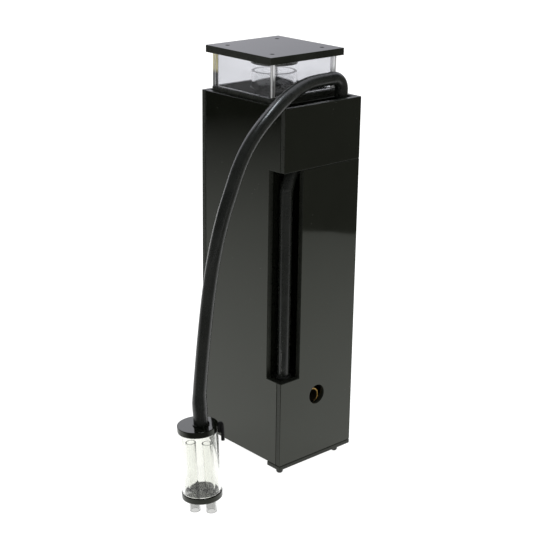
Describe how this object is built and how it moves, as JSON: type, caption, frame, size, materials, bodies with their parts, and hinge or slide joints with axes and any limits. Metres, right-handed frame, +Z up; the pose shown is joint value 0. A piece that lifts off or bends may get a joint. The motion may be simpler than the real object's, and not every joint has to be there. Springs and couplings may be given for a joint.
{
  "type": "hang on back filter",
  "caption": "Slim black acrylic hang on back filter with a lift-out clear foam cup, internal needle wheel pump and an air hose ending in a clear silencer.",
  "frame": {"origin": "middle of the casing's footprint on the floor", "axes": "+Z up, +X to the hose channel side, -Y to the front face, which the silencer stands before"},
  "size_m": [0.1278, 0.1952, 0.3619],
  "materials": {
    "black_acrylic": "polished black cast acrylic",
    "clear_acrylic": "clear acrylic with faintly yellow sawn edges",
    "black_rubber": "matt black rubber",
    "hose_rubber": "satin black soft hose",
    "pump_plastic": "moulded black plastic",
    "amber_acrylic": "yellow-tinted clear acrylic pipe",
    "white_plastic": "moulded white plastic",
    "magnet_ferrite": "dark sintered ferrite",
    "white_ceramic": "ground white ceramic"
  },
  "bodies": {
    "casing": {"front_panel": "black_acrylic", "back_panel": "black_acrylic", "left_panel": "black_acrylic", "channel_panel_lower": "black_acrylic", "channel_panel_upper": "black_acrylic", "partition": "black_acrylic", "channel_ledge": "black_acrylic", "hose_grommet": "black_rubber", "base_plate": "black_acrylic", "base_bar_left": "black_acrylic", "base_bar_right": "black_acrylic", "foot_front_left": "black_rubber", "foot_front_right": "black_rubber", "foot_rear_left": "black_rubber", "foot_rear_right": "black_rubber", "chamber_floor": "black_acrylic", "bubble_plate": "black_acrylic", "deck_plate": "black_acrylic", "motor_block": "pump_plastic", "pump_volute": "pump_plastic", "volute_cover": "pump_plastic", "outlet_pipe": "pump_plastic", "intake_pipe": "amber_acrylic", "pump_cradle": "pump_plastic", "shaft_bush_front": "white_ceramic", "shaft_bush_rear": "white_ceramic", "air_inlet_tube": "pump_plastic", "cable_grommet": "black_rubber", "inner_hose": "hose_rubber", "hose_elbow": "hose_rubber", "free_hose": "hose_rubber", "silencer_nipple": "black_acrylic", "silencer_top_cap": "black_acrylic", "silencer_tube": "clear_acrylic", "silencer_bottom_cap": "black_acrylic", "suction_tube_left": "clear_acrylic", "suction_tube_right": "clear_acrylic", "silencer_hook": "pump_plastic"},
    "cup": {"cup_flange": "black_acrylic", "cup_wall_front": "clear_acrylic", "cup_wall_back": "clear_acrylic", "cup_wall_left": "clear_acrylic", "cup_wall_right": "clear_acrylic", "foam_neck": "clear_acrylic", "neck_seal": "black_rubber"},
    "lid": {"lid_plate": "black_acrylic", "lid_plug": "black_acrylic"},
    "rotor": {"rotor_magnet": "magnet_ferrite", "rotor_shaft": "white_ceramic", "needle_wheel": "white_plastic"}
  },
  "joints": [
    {"name": "cup_lift", "type": "slide", "parent": "casing", "child": "cup", "axis": [0, 0, 1], "range_m": [0, 0.045]},
    {"name": "lid_lift", "type": "slide", "parent": "cup", "child": "lid", "axis": [0, 0, 1], "range_m": [0, 0.03]},
    {"name": "rotor_spin", "type": "hinge", "parent": "casing", "child": "rotor", "pos_m": [-0.002, 0, 0.0615], "axis": [1, 0, 0], "continuous": true}
  ]
}
